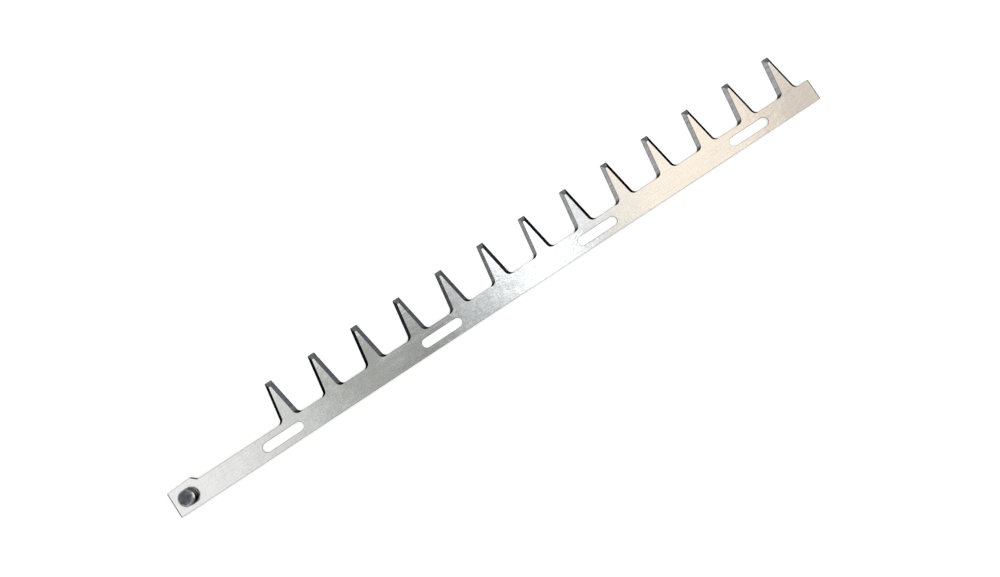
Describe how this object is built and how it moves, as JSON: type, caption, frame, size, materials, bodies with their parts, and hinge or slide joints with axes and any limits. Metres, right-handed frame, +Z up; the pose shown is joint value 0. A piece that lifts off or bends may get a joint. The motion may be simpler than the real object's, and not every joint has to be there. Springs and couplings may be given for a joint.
{
  "type": "hedge trimmer blade",
  "caption": "Flat steel hedge trimmer blade with tapered, bevelled teeth along one edge, oblong guide slots in line and a round drive pin at one end.",
  "frame": {"origin": "on the drive pin's axis, in the upper face of the bar", "axes": "+X along the bar from the drive pin to the free end, +Y towards the tooth tips, +Z up the drive pin"},
  "size_m": [0.4882, 0.042, 0.0075],
  "materials": {
    "ground_steel": "brushed flat faces with darker ground bevels on the teeth",
    "dark_steel": "turned, hardened and blackened"
  },
  "bodies": {
    "root": {"toothed_blade": "ground_steel", "drive_pin": "dark_steel"}
  },
  "joints": []
}
